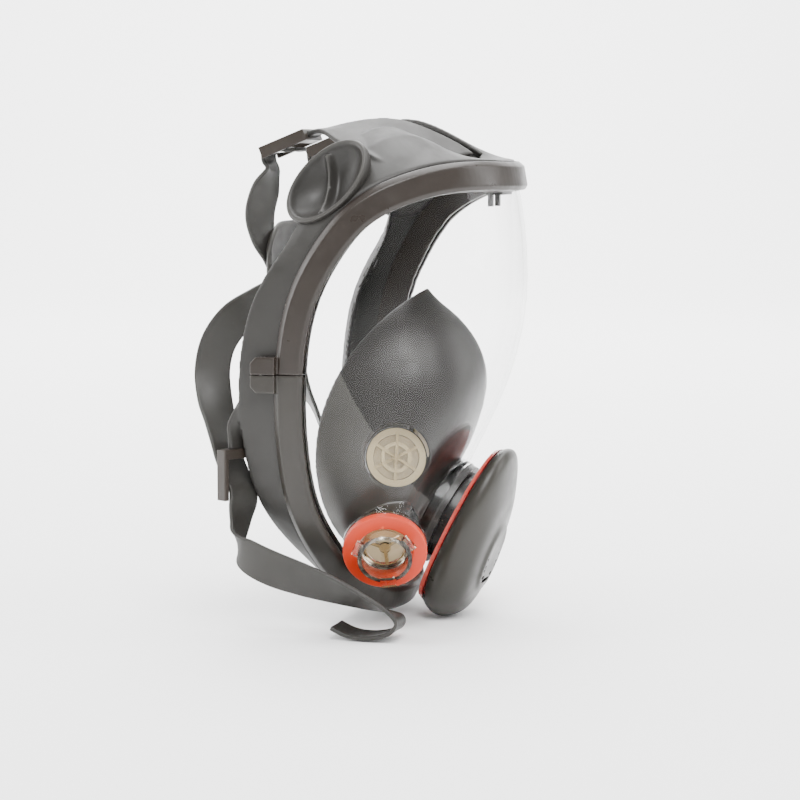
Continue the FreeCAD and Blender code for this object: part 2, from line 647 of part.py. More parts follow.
# along the axis, up in the plane, half height, half width
COVER_SHAPE = [
    (0.0, 2.5, 45.5, 31.0), (3.0, 2.3, 47.6, 32.8), (9.5, 1.5, 48.0, 33.4), (11.5, 0.9, 46.4, 32.2),
    (16.0, -1.6, 39.6, 28.0), (19.6, -3.6, 30.0, 21.5), (21.5, -4.6, 19.0, 13.5), (22.2, -5.0, 9.0, 6.5),
]
COVER_LEAN = 0.24  # how much thinner the cover is at its top than at its middle


def oval(level, rise, high, wide, inset=0.0, square=2.25):
    """A closed oval wire in the centre port's own frame."""
    points = []
    for k in range(32):
        turn = 2 * math.pi * k / 32
        c, d = math.cos(turn), math.sin(turn)
        x = math.copysign(abs(c) ** (2 / square), c) * (high - inset)
        y = math.copysign(abs(d) ** (2 / square), d) * (wide - inset)
        points.append(Vector(rise + x, y, level * (1 - COVER_LEAN * (rise + x) / 50)))
    return Part.Wire([spline(points, True)])


def build_centre_port():
    """Adapter drum, washer, valve grid, valve flap, red ring and the oval cover over them."""
    adapter = new_body("exhalation_adapter", CENTRE_PORT)
    pad(adapter, circles(adapter, "adapter_tube", [D + "adapter_rad", D + "adapter_bore"], f"-{D}adapter_tail"),
        D + "adapter_tail")
    front = f"-{D}collar_front + {D}washer_thick"
    pad(adapter, circles(adapter, "adapter_flange", [D + "seat_rad", D + "adapter_bore"], front), D + "seat_thick")
    ring("adapter_washer", CENTRE_PORT, D + "seat_rad", D + "adapter_rad + 0.05", f"-{D}collar_front",
         D + "washer_thick")
    grid = new_body("exhalation_valve_seat", CENTRE_PORT)
    low = f"-{D}grid_thick"
    pad(grid, circles(grid, "grid_rim", [D + "adapter_bore - 0.05", D + "exhale_rad - 2"], low), D + "grid_thick")
    pad(grid, circles(grid, "grid_ring_line", [D + "grid_ring", f"{D}grid_ring - {D}grid_bar"], low), D + "grid_thick")
    pad(grid, circles(grid, "grid_hub", [D + "stem_rad + 1.4"], low), D + "grid_thick")
    spoke = pad(grid, bar(grid, "grid_spoke", D + "stem_rad", D + "exhale_rad - 1.5", D + "grid_bar", low),
                D + "grid_thick")
    round_pattern(grid, spoke, 5)
    flap = new_body("exhalation_flap", CENTRE_PORT)
    pad(flap, circles(flap, "exhalation_flap_disc", [D + "exhale_rad"], "0.1"), D + "exhale_thick")
    sections = [oval(*row) for row in COVER_SHAPE]
    wall = dim("cover_wall")
    shell = Part.makeLoft(sections, True)
    hollow = Part.makeLoft([oval(level - (wall if k else 0.5), rise, high, wide, wall)
                            for k, (level, rise, high, wide) in enumerate(COVER_SHAPE)], True)
    cover = shell.cut(hollow)
    placed = cover.copy()
    placed.Placement = CENTRE_PORT
    lowest = min(p.z for p in placed.tessellate(0.05)[0])
    up = -lowest / CENTRE_PORT.Rotation.multVec(Vector(1, 0, 0)).z
    cover.translate(Vector(up, 0, 0.05))
    level, rise, high, wide = COVER_SHAPE[0]

    def plug(far, inset):
        return Part.makeLoft([oval(-1, rise + up, high, wide, inset), oval(far, rise + up, high, wide, inset)], True)

    lip, play = dim("trim_lip"), dim("trim_play")
    add_shape("exhalation_cover", cover.cut(plug(lip + 0.4, wall + 0.2)), CENTRE_PORT)
    trim = Part.makeLoft([oval(-dim("trim_thick"), rise + up, high - 1.2, wide - 1.2),
                          oval(0, rise + up, high, wide)], True)
    tongue = plug(lip, wall + play + 0.2)
    trim = trim.fuse(tongue).cut(tube(dim("adapter_rad") + dim("hub_fit"), 0, -60, 60, Placement()))
    add_shape("cover_ring", trim, CENTRE_PORT)


# ---- buckles --------------------------------------------------------------------------------

def solid_part(kind, name, sizes, at=(0, 0, 0), turn=None):
    """A Part primitive whose sizes are expressions on the sheet."""
    item = doc.addObject("Part::" + kind, name)
    for size, value in sizes.items():
        item.setExpression(size, value)
    item.Placement = Placement(Vector(*at), turn or Rotation())
    return item


def build_buckle(name, place):
    """Two rails and a clamp block round the tab's end, with a steel bar in blind slots."""
    half, rail = dim("buckle_half"), dim("buckle_rail")
    low, rear = dim("buckle_low"), dim("buckle_rear")
    rails = []
    for side, y in (("a", half), ("b", -half - rail)):
        rails.append(solid_part("Box", f"{name}_rail_{side}", {
            "Length": f"{D}buckle_rear + {D}buckle_tail", "Width": D + "buckle_rail",
            "Height": f"{D}buckle_low + {D}buckle_high"}, (-rear, y, -low)))
    block = solid_part("Box", name + "_block", {
        "Length": f"{D}buckle_rear - {D}buckle_front", "Width": f"2 * {D}buckle_half",
        "Height": f"{D}buckle_low + {D}buckle_high"}, (-rear, -half, -low))
    body = doc.addObject("Part::MultiFuse", name + "_body")
    body.Shapes = rails + [block]
    play = dim("tab_play")
    slot = solid_part("Box", name + "_tab_slot", {
        "Length": "30", "Width": f"2 * {D}tab_half + 2 * {D}tab_play",
        "Height": f"{D}seal_thick + 2 * {D}tab_play"},
        (-30 - dim("buckle_front"), -dim("tab_half") - play, 0.5 - dim("seal_thick") / 2 - play))
    bar_rad, rest = dim("bar_rad") + dim("bar_play"), dim("bar_rest")
    across = Rotation(Vector(1, 0, 0), -90)
    cutters = [slot]
    for k, x in enumerate((rest, rest + dim("bar_travel"))):
        cutters.append(solid_part("Cylinder", f"{name}_slot_end_{k}", {
            "Radius": f"{D}bar_rad + {D}bar_play", "Height": f"2 * {D}bar_half + 2 * {D}bar_play"},
            (x, -dim("bar_half") - dim("bar_play"), 0), across))
    cutters.append(solid_part("Box", name + "_slot_middle", {
        "Length": D + "bar_travel", "Width": f"2 * {D}bar_half + 2 * {D}bar_play",
        "Height": f"2 * {D}bar_rad + 2 * {D}bar_play"},
        (rest, -dim("bar_half") - dim("bar_play"), -bar_rad)))
    holes = doc.addObject("Part::MultiFuse", name + "_holes")
    holes.Shapes = cutters
    buckle = doc.addObject("Part::Cut", name)
    buckle.Base, buckle.Tool = body, holes
    buckle.Label = name
    buckle.Placement = place
    NODES[name] = buckle
    axis = place.multiply(Placement(Vector(rest, -dim("bar_half"), 0), across))
    steel = solid_part("Cylinder", name + "_bar", {"Radius": D + "bar_rad", "Height": f"2 * {D}bar_half"})
    steel.Placement = axis
    NODES[name + "_bar"] = steel


# ---- head harness ---------------------------------------------------------------------------

# centre, width direction
UPPER_STRAP = [
    ((-92.5, -37.5, 227), (-0.5, -0.85, 0)), ((-95.5, -38, 215), (-0.55, -0.8, -0.05)),
    ((-95, -35.5, 204), (-0.35, -0.9, -0.2)), ((-93, -29.5, 195), (-0.1, -0.92, -0.35)), ((-92.2, -23, 187), (0, -0.9, -0.45)),
]
UPPER_STRAP_IN_BUCKLE = [(-3.5, -4.2), (1.5, -2.8), (5.2, 0.1), (8.0, 2.3), (11.4, 2.3), (14.1, 0.4), (15.4, -3.6),
                         (15.3, -8.5)]
LOWER_STRAP = [
    ((-91.8, -20, 178), (0, 0.4, -0.92)), ((-91.6, -33, 172), (-0.05, 0.4, -0.9)), ((-96, -45, 167), (0.15, 0.4, -0.9)),
    ((-104.5, -53.5, 159.5), (0.55, 0.3, -0.78)), ((-111.5, -58, 148), (0.84, 0.32, -0.44)),
    ((-114, -60.5, 134), (0.94, 0.33, -0.08)), ((-111.5, -64, 120), (0.82, 0.55, 0.0)),
    ((-107.3, -67.5, 109), (0.62, 0.78, 0.0)),
]
LOWER_STRAP_IN_BUCKLE = [(-15, -11.5), (-6.5, -8), (-0.5, -4.6), (4.2, -1.0), (8.0, 2.35), (12.0, 2.9), (17.5, 2.3)]
LOWER_TAIL = [
    ((-92.3, -78.5, 58), (0.2, 0.97, -0.1)), ((-92.5, -81.5, 50.5), (0.0, 0.8, -0.6)),
    ((-89, -85.3, 44.5), (-0.2, 0.35, -0.92)), ((-81, -87.3, 40), (-0.3, 0.1, -0.95)),
    ((-70, -87.8, 35.8), (-0.3, 0.05, -0.95)), ((-57, -86, 31.5), (-0.25, 0.25, -0.93)),
    ((-42, -82.3, 26.2), (-0.15, 0.55, -0.8)), ((-27, -78.0, 20.2), (-0.1, 0.8, -0.55)),
    ((-15.5, -75, 15.4), (-0.05, 0.95, -0.3)), ((-9.2, -73.3, 10.8), (0, 0.98, -0.1)),
    ((-10.3, -73, 6.2), (0, 1, 0)), ((-17, -73, 3.1), (0, 1, 0)), ((-26, -73, 1.9), (0, 1, 0)),
    ((-35, -73, 2.9), (0, 1, 0)), ((-43, -73, 6.3), (0, 1, 0)),
]


def run_of(stations, half):
    """Edge pairs for strip, from centres and width directions made square to the run."""
    centres = [Vector(*c) for c, _ in stations]
    edges = []
    for i, (_, width) in enumerate(stations):
        ahead = (centres[min(i + 1, len(centres) - 1)] - centres[max(i - 1, 0)]).normalize()
        wide = Vector(*width)
        wide = (wide - ahead * wide.dot(ahead)).normalize() * half
        edges.append((tuple(centres[i] - wide), tuple(centres[i] + wide)))
    return edges


def in_buckle(path, buckle, width):
    """Stations of a strap that is given as (x, z) pairs in a buckle's own frame."""
    return [(tuple(buckle.multVec(Vector(x, 0, z))), width) for x, z in path]


def build_harness():
    """Crown pad and its four straps, moulded as one piece."""
    half, thick = dim("strap_wide") / 2, dim("strap_thick")
    edges = []
    for y in (-40, -32, -20, -8, 8, 20, 32, 40):
        round_off = (abs(y) / 40) ** 4
        x = -92.6 + 2.2 * (y / 40) ** 2
        edges.append(((x, y, 210 - 16 * round_off), (x, y, 158 + 10 * round_off)))
    crown = strip(edges, dim("pad_thick"))
    upper = in_buckle(UPPER_STRAP_IN_BUCKLE, RIGHT_UPPER, (0, 1, 0)) + UPPER_STRAP
    width = tuple(RIGHT_LOWER.Rotation.multVec(Vector(0, 1, 0)))
    lower = LOWER_STRAP + in_buckle(LOWER_STRAP_IN_BUCKLE, RIGHT_LOWER, width) + LOWER_TAIL
    straps = []
    for stations in (upper, lower):
        strap = strip(run_of(stations, half), thick)
        straps += [strap, flipped(strap)]
    add_shape("head_harness", crown.fuse(straps))


# ---- spectacle clip -------------------------------------------------------------------------

def build_clip():
    """A small bracket under the brow with two posts."""
    frame = NODES["upper_frame"].Shape
    half, thick, long = dim("clip_half"), dim("clip_thick"), dim("clip_long")
    plate = Part.makeBox(long, 2 * half, thick, Vector(18.8, -half, 226.5 - thick))
    plate = plate.fuse(Part.makeBox(3.0, 2 * half, 5.0, Vector(24.2, -half, 226.5 - thick)))
    for y in (-dim("post_half"), dim("post_half")):
        plate = plate.fuse(Part.makeBox(dim("post_thick"), dim("post_wide"), dim("post_long") + 1,
                                        Vector(19.4, y - dim("post_wide") / 2, 226.5 - thick - dim("post_long"))))
    add_shape("spectacle_clip", max(plate.cut(frame).Solids, key=lambda part: part.Volume))


# ---- the assembly ---------------------------------------------------------------------------

build_lens()
build_frame()
build_seal()
build_nose_cup()
build_centre_port()
build_harness()
build_clip()
for side, port, valve in (("right", RIGHT_PORT, RIGHT_CUP_VALVE), ("left", LEFT_PORT, LEFT_CUP_VALVE)):
    build_port(side, port)
    build_cup_valve(side, valve)
for label, place in (("right_upper_buckle", RIGHT_UPPER), ("left_upper_buckle", LEFT_UPPER),
                     ("right_lower_buckle", RIGHT_LOWER), ("left_lower_buckle", LEFT_LOWER)):
    build_buckle(label, place)

doc.recompute()
for item in doc.Objects:
    faults = [word for word in item.State if word in ("Invalid", "Error")]
    if faults:
        raise RuntimeError(f"{item.Name}: {faults}")
os.makedirs("parts", exist_ok=True)
for label, item in NODES.items():
    item.Label = label
    if item.Shape.isNull() or not item.Shape.isValid() or item.Shape.Volume <= 0:
        raise RuntimeError(f"{label}: the shape is not sound")
    item.Shape.exportStep(f"parts/{label}.step")
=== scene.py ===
"""A full face respirator standing on its exhalation cover and lower straps, in a pale studio."""
import math

import bmesh
import bpy
from mathutils import Matrix, Vector


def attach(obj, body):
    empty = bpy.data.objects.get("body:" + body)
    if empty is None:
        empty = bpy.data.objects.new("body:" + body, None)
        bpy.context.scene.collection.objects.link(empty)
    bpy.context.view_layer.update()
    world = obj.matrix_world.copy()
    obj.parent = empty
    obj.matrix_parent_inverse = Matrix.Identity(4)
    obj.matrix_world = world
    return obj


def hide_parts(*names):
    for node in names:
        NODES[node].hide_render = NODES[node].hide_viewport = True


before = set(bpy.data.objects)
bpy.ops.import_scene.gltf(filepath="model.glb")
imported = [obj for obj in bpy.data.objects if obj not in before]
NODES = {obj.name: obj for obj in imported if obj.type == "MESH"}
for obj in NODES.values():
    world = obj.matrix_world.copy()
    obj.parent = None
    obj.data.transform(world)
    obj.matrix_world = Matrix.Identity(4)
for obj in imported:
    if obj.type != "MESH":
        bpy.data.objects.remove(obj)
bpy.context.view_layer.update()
MM = 0.001


# ---- materials ------------------------------------------------------------------------------

def new_material(name, colour, rough, **sockets):
    """A Principled material; returns it with its node tree's shader, nodes and links."""
    material = bpy.data.materials.new(name)
    material.use_nodes = True
    nodes, links = material.node_tree.nodes, material.node_tree.links
    shader = nodes["Principled BSDF"]
    shader.inputs["Base Color"].default_value = (*colour, 1.0)
    shader.inputs["Roughness"].default_value = rough
    for socket, value in sockets.items():
        shader.inputs[socket.replace("_", " ")].default_value = value
    return material, shader, nodes, links


def noise(nodes, links, scale, detail=4.0, rough=0.55):
    """Noise in object coordinates, at a scale in cycles per metre."""
    place = nodes.new("ShaderNodeTexCoord")
    texture = nodes.new("ShaderNodeTexNoise")
    texture.inputs["Scale"].default_value = scale
    texture.inputs["Detail"].default_value = detail
    texture.inputs["Roughness"].default_value = rough
    links.new(place.outputs["Object"], texture.inputs["Vector"])
    return texture.outputs["Fac"]


def span(nodes, links, source, low, high, start=0.3, end=0.7):
    """Maps a 0..1 value from start..end onto low..high."""
    remap = nodes.new("ShaderNodeMapRange")
    remap.inputs["From Min"].default_value = start
    remap.inputs["From Max"].default_value = end
    remap.inputs["To Min"].default_value = low
    remap.inputs["To Max"].default_value = high
    links.new(source, remap.inputs["Value"])
    return remap.outputs["Result"]


def blend_colour(nodes, links, factor, first, second):
    """Mixes two colours, each a tuple or another node's output."""
    mix = nodes.new("ShaderNodeMix")
    mix.data_type = "RGBA"
    links.new(factor, mix.inputs["Factor"])
    for socket, value in (("A", first), ("B", second)):
        target = [i for i in mix.inputs if i.name == socket and i.type == "RGBA"][0]
        if isinstance(value, tuple):
            target.default_value = (*value, 1.0)
        else:
            links.new(value, target)
    return [o for o in mix.outputs if o.type == "RGBA"][0]


def moulded_material(name, colour, edge_highlight, rough, grain=2600.0, grain_depth=0.00003, dust=0.35, **sockets):
    """Moulded rubber or plastic: cloudy colour, sharp edges lightened as a painted highlight, scattered dust
    specks and a fine grain.
    """
    material, shader, nodes, links = new_material(name, colour, rough, **sockets)
    shader.inputs["Specular IOR Level"].default_value = 0.38
    cloud = span(nodes, links, noise(nodes, links, 38.0), 0.0, 1.0)
    darker = tuple(c * 0.86 for c in colour)
    base = blend_colour(nodes, links, cloud, darker, colour)
    shape = nodes.new("ShaderNodeNewGeometry")
    # painted highlight: sharp edges, found by pointiness, are lightened towards the material's lighter second
    # colour
    edge = span(nodes, links, shape.outputs["Pointiness"], 0.0, 0.8, 0.53, 0.60)
    base = blend_colour(nodes, links, edge, base, edge_highlight)
    speck = span(nodes, links, noise(nodes, links, 520.0, 6.0, 0.7), 0.0, dust, 0.60, 0.78)
    base = blend_colour(nodes, links, speck, base, tuple(min(1.0, c * 1.35 + 0.01) for c in colour))
    links.new(base, shader.inputs["Base Color"])
    links.new(span(nodes, links, noise(nodes, links, 90.0), rough - 0.07, rough + 0.09),
              shader.inputs["Roughness"])
    bump = nodes.new("ShaderNodeBump")
    bump.inputs["Strength"].default_value = 0.35
    bump.inputs["Distance"].default_value = grain_depth
    links.new(noise(nodes, links, grain, 3.0), bump.inputs["Height"])
    links.new(bump.outputs["Normal"], shader.inputs["Normal"])
    return material


def clear_material(name, tint, rough, ior=1.45, grime=0.10):
    """Clear moulded plastic with faint smears and a fine haze of scratches."""
    material, shader, nodes, links = new_material(name, tint, rough, Transmission_Weight=1.0, IOR=ior)
    smear = span(nodes, links, noise(nodes, links, 60.0, 5.0), rough, rough + grime, 0.45, 0.85)
    links.new(smear, shader.inputs["Roughness"])
    cloud = span(nodes, links, noise(nodes, links, 25.0), 0.0, 1.0)
    links.new(blend_colour(nodes, links, cloud, tint, tuple(min(1.0, c * 1.03) for c in tint)),
              shader.inputs["Base Color"])
    return material


def steel_material(name):
    """Drawn steel wire with fine lengthwise scratches."""
    material, shader, nodes, links = new_material(name, (0.72, 0.72, 0.70), 0.22, Metallic=1.0)
    scratch = noise(nodes, links, 1800.0, 2.0)
    links.new(span(nodes, links, scratch, 0.14, 0.34), shader.inputs["Roughness"])
    cloud = span(nodes, links, noise(nodes, links, 300.0), 0.0, 1.0)
    links.new(blend_colour(nodes, links, cloud, (0.62, 0.62, 0.60), (0.80, 0.80, 0.78)),
              shader.inputs["Base Color"])
    return material


# each moulded material's second colour is the painted highlight laid on its sharp edges
SEAL = moulded_material("seal_rubber", (0.0216, 0.0202, 0.018), (0.0612, 0.0576, 0.0518), 0.46)
HARNESS = moulded_material("strap_rubber", (0.0274, 0.0259, 0.023), (0.072, 0.0684, 0.0612), 0.48, 3200.0)
NOSE = moulded_material("cup_rubber", (0.0151, 0.013, 0.0112), (0.036, 0.0324, 0.0288), 0.42, 2600.0, 0.00001)
# a lighter copy of the cup rubber, used as a painted highlight on the cup's lower rear band
NOSE_PAINTED_LIGHT = moulded_material("cup_painted_light_rubber", (0.065, 0.061, 0.055), (0.12, 0.115, 0.105), 0.40,
                            2600.0, 0.00001)
UPPER = moulded_material("frame_brown", (0.0187, 0.0137, 0.0104), (0.0936, 0.0806, 0.0684), 0.34, 1800.0)
LOWER = moulded_material("frame_grey", (0.0238, 0.0209, 0.0173), (0.0864, 0.0778, 0.0684), 0.38, 1800.0)
COVER = moulded_material("cover_grey", (0.0259, 0.0238, 0.0194), (0.0792, 0.0734, 0.0634), 0.34, 1500.0)
BUCKLE = moulded_material("buckle_brown", (0.0245, 0.0187, 0.0144), (0.0864, 0.072, 0.0612), 0.36)
DARK = moulded_material("adapter_dark", (0.012, 0.011, 0.010), (0.06, 0.057, 0.054), 0.30)
BLACK = moulded_material("clip_black", (0.008, 0.0075, 0.007), (0.05, 0.05, 0.047), 0.40)
GASKET = moulded_material("gasket_orange", (0.58, 0.036, 0.008), (0.78, 0.11, 0.045), 0.36, 2200.0,
                          dust=0.12, Subsurface_Weight=0.06)
RING = moulded_material("ring_red", (0.36, 0.020, 0.018), (0.62, 0.12, 0.09), 0.24, dust=0.12)
CREAM = moulded_material("valve_cream", (0.34, 0.255, 0.125), (0.52, 0.43, 0.26), 0.42, dust=0.15)
SILICONE = moulded_material("flap_silicone", (0.34, 0.26, 0.15), (0.50, 0.42, 0.28), 0.30, dust=0.12)
TAN = clear_material("hub_tan", (0.92, 0.83, 0.68), 0.10, 1.42, 0.10)
STEEL = steel_material("bright_steel")
LENS = clear_material("lens_clear", (0.985, 0.988, 0.986), 0.008, 1.18, 0.02)


def paint(node, material):
    """Gives a CAD node its material."""
    mesh = NODES[node].data
    mesh.materials.clear()
    mesh.materials.append(material)
    return NODES[node]


# ---- pieces made from the CAD solids --------------------------------------------------------

def keep(piece, body, slot, *nodes):
    """Rides a finished piece on its body in place of its CAD nodes."""
    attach(piece, body)
    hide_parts(*nodes)
    return piece


def apply_modifiers(piece):
    """Replaces a piece's mesh by the one that its modifiers give."""
    graph = bpy.context.evaluated_depsgraph_get()
    mesh = bpy.data.meshes.new_from_object(piece.evaluated_get(graph))
    old = piece.data
    piece.modifiers.clear()
    piece.data = mesh
    bpy.data.meshes.remove(old)


ON_MIRROR_PLANE = 0.001 * MM
WELD = 0.002 * MM
KEEP_FACES = 0.5


def join_halves(data):
    """Takes out the faces on the mirror plane, so that two mirrored halves close into one skin."""
    mesh = bmesh.new()
    mesh.from_mesh(data)
    caps = [f for f in mesh.faces if all(abs(v.co.y) < ON_MIRROR_PLANE for v in f.verts)]
    bmesh.ops.delete(mesh, geom=caps, context="FACES")
    bmesh.ops.remove_doubles(mesh, verts=mesh.verts, dist=WELD)
    mesh.to_mesh(data)
    mesh.free()


def softened(node, name, voxel, passes, material):
    """A copy of a CAD node with its sharp edges melted to the radius of a moulding."""
    piece = bpy.data.objects.new(name, NODES[node].data.copy())
    join_halves(piece.data)
    bpy.context.scene.collection.objects.link(piece)
    remesh = piece.modifiers.new("remesh", "REMESH")
    remesh.mode = "VOXEL"
    remesh.voxel_size = voxel
    smooth = piece.modifiers.new("smooth", "SMOOTH")
    smooth.factor = 0.5
    smooth.iterations = passes
    thin = piece.modifiers.new("thin", "DECIMATE")
    thin.ratio = KEEP_FACES
    apply_modifiers(piece)
    piece.data.materials.clear()
    piece.data.materials.append(material)
    piece.data.polygons.foreach_set("use_smooth", [True] * len(piece.data.polygons))
    return piece


# the oval hollow on each temple tab
SCOOP_CENTRE = Vector((-46.5, -75.0, 232.0)) * MM
SCOOP_OUT = Vector((-0.22, -0.88, 0.42)).normalized()
SCOOP_LONG, SCOOP_SHORT, SCOOP_DEEP = 23.5 * MM, 15.5 * MM, 11.0 * MM
SCOOP_UNDER = 1.2 * MM  # how far the seal's skin is kept under the bowl
SCOOP_FADE = 1.7  # share of the oval's size at which the push has died away
SCOOP_AROUND, SCOOP_RINGS = 96, 22
RIB_HIGH, RIB_WIDE, RIB_SHIFT = 5.5 * MM, 1.7 * MM, 2.0 * MM


def scoop_axes(side):
    """Centre, long, short and outward axes of the hollow on one side's temple tab."""
    mirror = Matrix.Diagonal((1.0, side, 1.0))
    out = mirror @ SCOOP_OUT
    long = Vector((0.70, 0.2 * side, 0.70))
    long = (long - out * long.dot(out)).normalized()
    return mirror @ SCOOP_CENTRE, long, out.cross(long) * side, out


def scoop_depth(r):
    """How far the hollow's skin lies under its rim at a share r of the way out."""
    return SCOOP_DEEP * (1.0 - min(r, 1.0) ** 2.6)


def press_scoops(mesh):
    """Pushes the seal's skin under both hollows, less and less past their rims."""
    for side in (1, -1):
        centre, long, short, out = scoop_axes(side)
        for vertex in mesh.vertices:
            at = vertex.co - centre
            r = math.hypot(at.dot(long) / SCOOP_LONG, at.dot(short) / SCOOP_SHORT)
            over = at.dot(out) + scoop_depth(r) + SCOOP_UNDER
            if r < SCOOP_FADE and -14 * MM < at.dot(out) < 12 * MM and over > 0:
                ease = min(1.0, max(0.0, (SCOOP_FADE - r) / (SCOOP_FADE - 1.0)))
                vertex.co -= out * over * ease * ease * (3 - 2 * ease)


def scoop(side, name):
    """The oval hollow: a rolled rim, a smooth bowl with one upright rib, and its outer wall."""
    centre, long, short, out = scoop_axes(side)
    profile = [(0.02, -scoop_depth(0.0))]
    for ring in range(1, SCOOP_RINGS + 1):
        share = ring / (SCOOP_RINGS + 2)
        profile.append((share, -scoop_depth(share)))
    profile += [(0.955, -0.9 * MM), (0.99, 0.35 * MM), (1.035, 0.8 * MM), (1.08, 0.4 * MM),
                (1.10, -0.8 * MM), (1.09, -4 * MM), (1.04, -7 * MM), (0.9, -10 * MM),
                (0.6, -11.5 * MM), (0.02, -12 * MM)]
    mesh = bmesh.new()
    rings = []
    for r, high in profile:
        ring = []
        for k in range(SCOOP_AROUND):
            turn = math.tau * k / SCOOP_AROUND
            a, b = r * SCOOP_LONG * math.cos(turn), r * SCOOP_SHORT * math.sin(turn)
            ridge = 0.0
            if len(rings) < SCOOP_RINGS:
                off_rib = (a * 0.72 - b * 0.69 + RIB_SHIFT) / RIB_WIDE
                ridge = RIB_HIGH * math.exp(-off_rib ** 2) * (1 - r ** 5)
            ring.append(mesh.verts.new(centre + long * a + short * b + out * (high + ridge)))
        rings.append(ring)
    for first, second in zip(rings, rings[1:]):
        for k in range(SCOOP_AROUND):
            after = (k + 1) % SCOOP_AROUND
            mesh.faces.new((first[k], first[after], second[after], second[k]))
    mesh.faces.new(rings[0])
    mesh.faces.new(rings[-1][::-1])
    bmesh.ops.recalc_face_normals(mesh, faces=mesh.faces)
    data = bpy.data.meshes.new(name)
    mesh.to_mesh(data)
    mesh.free()
    data.polygons.foreach_set("use_smooth", [True] * len(data.polygons))
    data.materials.append(SEAL)
    piece = bpy.data.objects.new(name, data)
    bpy.context.scene.collection.objects.link(piece)
    return piece


seal_skin = softened("face_seal", "seal_skin", 0.8 * MM, 6, SEAL)
press_scoops(seal_skin.data)
keep(seal_skin, "mask", "seal", "face_seal")
for side, label in ((1, "right"), (-1, "left")):
    keep(scoop(side, f"{label}_temple_scoop"), "mask", "seal", "face_seal")

# painted highlight: the cup's lower rear band on each side gets a lighter copy of its rubber, standing in for
# the light that falls there
PAINTED_LIGHT_POINT, PAINTED_LIGHT_OUT, PAINTED_LIGHT_REACH = Vector((-52, 0, 124)), Vector((0.84, 0, 0.54)), 6
PAINTED_LIGHT_CLEAR = 14  # the painted highlight band stops this far from the mirror plane
cup_skin = softened("nose_cup", "nose_cup_skin", 0.7 * MM, 8, NOSE)
cup_skin.data.materials.append(NOSE_PAINTED_LIGHT)
for face in cup_skin.data.polygons:
    centre = face.center / MM
    if (centre - PAINTED_LIGHT_POINT).dot(PAINTED_LIGHT_OUT) < PAINTED_LIGHT_REACH and abs(centre.y) > PAINTED_LIGHT_CLEAR:
        face.material_index = 1
keep(cup_skin, "mask", "nose_cup", "nose_cup")
for half, material in (("upper_frame", UPPER), ("lower_frame", LOWER)):
    keep(softened(half, f"{half}_moulding", 0.5 * MM, 1, material), "mask", half, half)
keep(softened("exhalation_cover", "cover_moulding", 0.8 * MM, 22, COVER), "exhalation_cover", "cover",
     "exhalation_cover")
for side in ("right", "left"):
    keep(softened(f"{side}_port_gasket", f"{side}_gasket_ring", 0.35 * MM, 3, GASKET), "mask", "gasket",
         f"{side}_port_gasket")
    for level in ("upper", "lower"):
        keep(softened(f"{side}_{level}_buckle", f"{side}_{level}_buckle_moulding", 0.3 * MM, 2, BUCKLE),
             "mask", "buckle", f"{side}_{level}_buckle")


# ---- straps ---------------------------------------------------------------------------------

STRAP_HALF = 9.5 * MM
STRAP_THICK = 2.2 * MM


def hermite(values, at):
    """Values at a fractional index, by a smooth curve through all of them."""
    i = min(int(at), len(values) - 2)
    t = at - i
    before = values[max(i - 1, 0)]
    after = values[min(i + 2, len(values) - 1)]
    return (values[i] * (1 + 2 * t) * (1 - t) ** 2 + values[i + 1] * t * t * (3 - 2 * t)
            + (values[i + 1] - before) * 0.5 * t * (1 - t) ** 2
            + (after - values[i]) * 0.5 * t * t * (t - 1))


def strap_section(half, thick):
    """A strap's outline (across, out): rounded edges with a thin raised rim on each face."""
    profile = []
    rim, dish = 1.6 * MM, 0.25 * MM
    for side in (1, -1):
        for across, out in ((-half + 0.25 * MM, thick * 0.30), (-half + 0.7 * MM, thick * 0.5),
                            (-half + rim, thick * 0.5), (-half + rim * 1.5, thick * 0.5 - dish),
                            (0.0, thick * 0.5 - dish * 0.8), (half - rim * 1.5, thick * 0.5 - dish),
                            (half - rim, thick * 0.5), (half - 0.7 * MM, thick * 0.5),
                            (half - 0.25 * MM, thick * 0.30)):
            profile.append((across * side, out * side))
    return profile


def strap_mesh(name, stations, half, thick, step=1.1 * MM):
    """A strap swept through stations (centre, width direction), in metres."""
    centres = [c for c, _ in stations]
    widths = [w for _, w in stations]
    samples = []
    for i in range(len(stations) - 1):
        count = max(2, round((centres[i + 1] - centres[i]).length / step))
        samples += [i + k / count for k in range(count)]
    samples.append(len(stations) - 1.0)
    points = [hermite(centres, s) for s in samples]
    outline = strap_section(half, thick)
    mesh = bmesh.new()
    rings = []
    for i, s in enumerate(samples):
        ahead = (points[min(i + 1, len(points) - 1)] - points[max(i - 1, 0)]).normalized()
        wide = hermite(widths, s)
        wide = (wide - ahead * wide.dot(ahead)).normalized()
        out = wide.cross(ahead)
        rings.append([mesh.verts.new(points[i] + wide * a + out * b) for a, b in outline])
    size = len(outline)
    for first, second in zip(rings, rings[1:]):
        for k in range(size):
            mesh.faces.new((first[k], first[(k + 1) % size], second[(k + 1) % size], second[k]))
    mesh.faces.new(rings[0][::-1])
    mesh.faces.new(rings[-1])
    bmesh.ops.recalc_face_normals(mesh, faces=mesh.faces)
    data = bpy.data.meshes.new(name)
    mesh.to_mesh(data)
    mesh.free()
    data.polygons.foreach_set("use_smooth", [True] * len(data.polygons))
    piece = bpy.data.objects.new(name, data)
    bpy.context.scene.collection.objects.link(piece)
    divide = piece.modifiers.new("round", "SUBSURF")
    divide.levels = divide.render_levels = 1
    return piece


class Place:
    """A buckle's own frame: X towards the free end, Y across, Z the face the strap crosses."""

    def __init__(self, origin, normal, level):
        self.z = Vector(normal).normalized()
        level = Vector(level)
        self.y = (level - self.z * level.dot(self.z)).normalized()
        self.x = self.y.cross(self.z)
        self.origin = Vector(origin)

    def at(self, x, y, z):
        return self.origin + self.x * x + self.y * y + self.z * z


